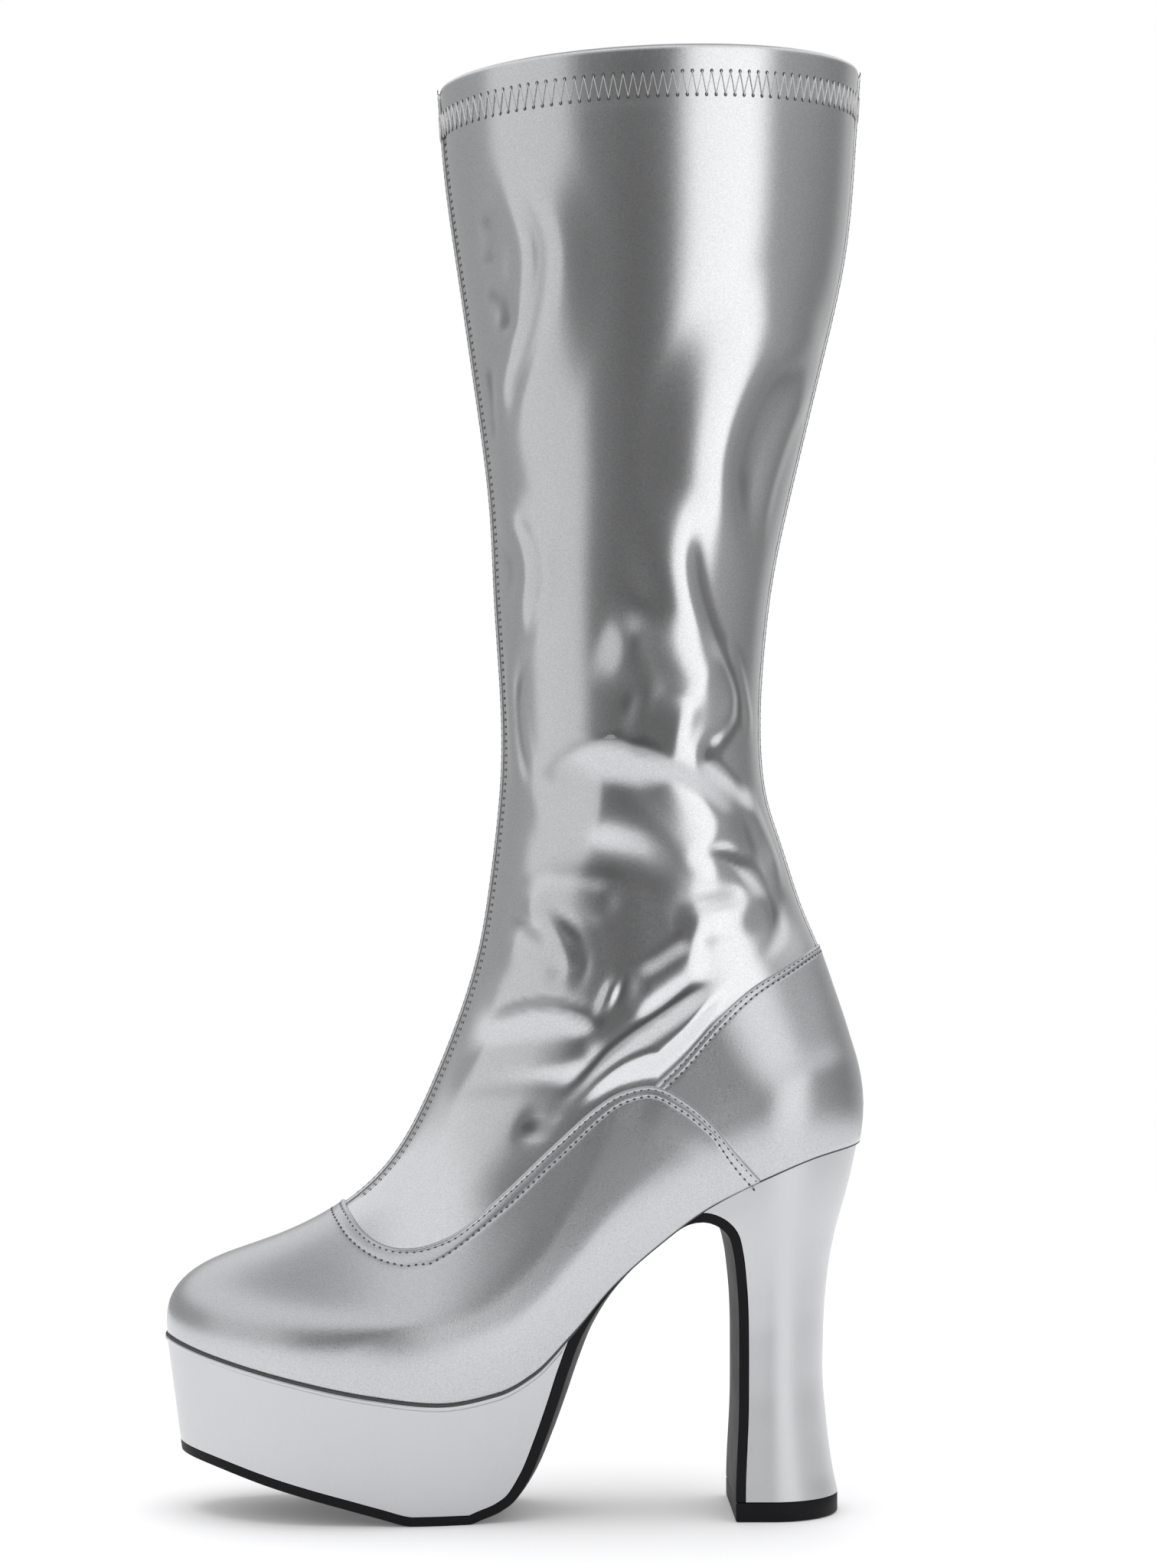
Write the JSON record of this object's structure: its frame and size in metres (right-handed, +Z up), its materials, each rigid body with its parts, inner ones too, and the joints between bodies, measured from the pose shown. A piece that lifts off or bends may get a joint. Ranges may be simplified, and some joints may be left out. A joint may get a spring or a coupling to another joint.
{
  "type": "platform boot",
  "caption": "Pull-on knee-high platform boot for the left foot with a high block heel, silver upper with overlaid vamp and counter, and a thin black outsole.",
  "frame": {"origin": "on the floor, under the middle of the heel's tip", "axes": "+Z up, toe towards -X, outer side of this left boot towards -Y, inner side towards +Y"},
  "size_m": [0.2381, 0.1018, 0.4872],
  "materials": {
    "stretch_patent": "silver stretch patent, high gloss",
    "pearl_leather": "silver pearl-coated leather, soft gloss with a fine grain",
    "satin_cover": "pale silver satin cover",
    "black_rubber": "black rubber, satin",
    "sole_lining": "grey lining cloth"
  },
  "bodies": {
    "root": {"upper": "stretch_patent", "vamp": "pearl_leather", "counter": "pearl_leather", "front_seam_tape": "stretch_patent", "back_seam_tape": "stretch_patent", "insole": "sole_lining", "platform": "satin_cover", "outsole": "black_rubber", "heel": "satin_cover", "top_lift": "black_rubber"}
  },
  "joints": []
}
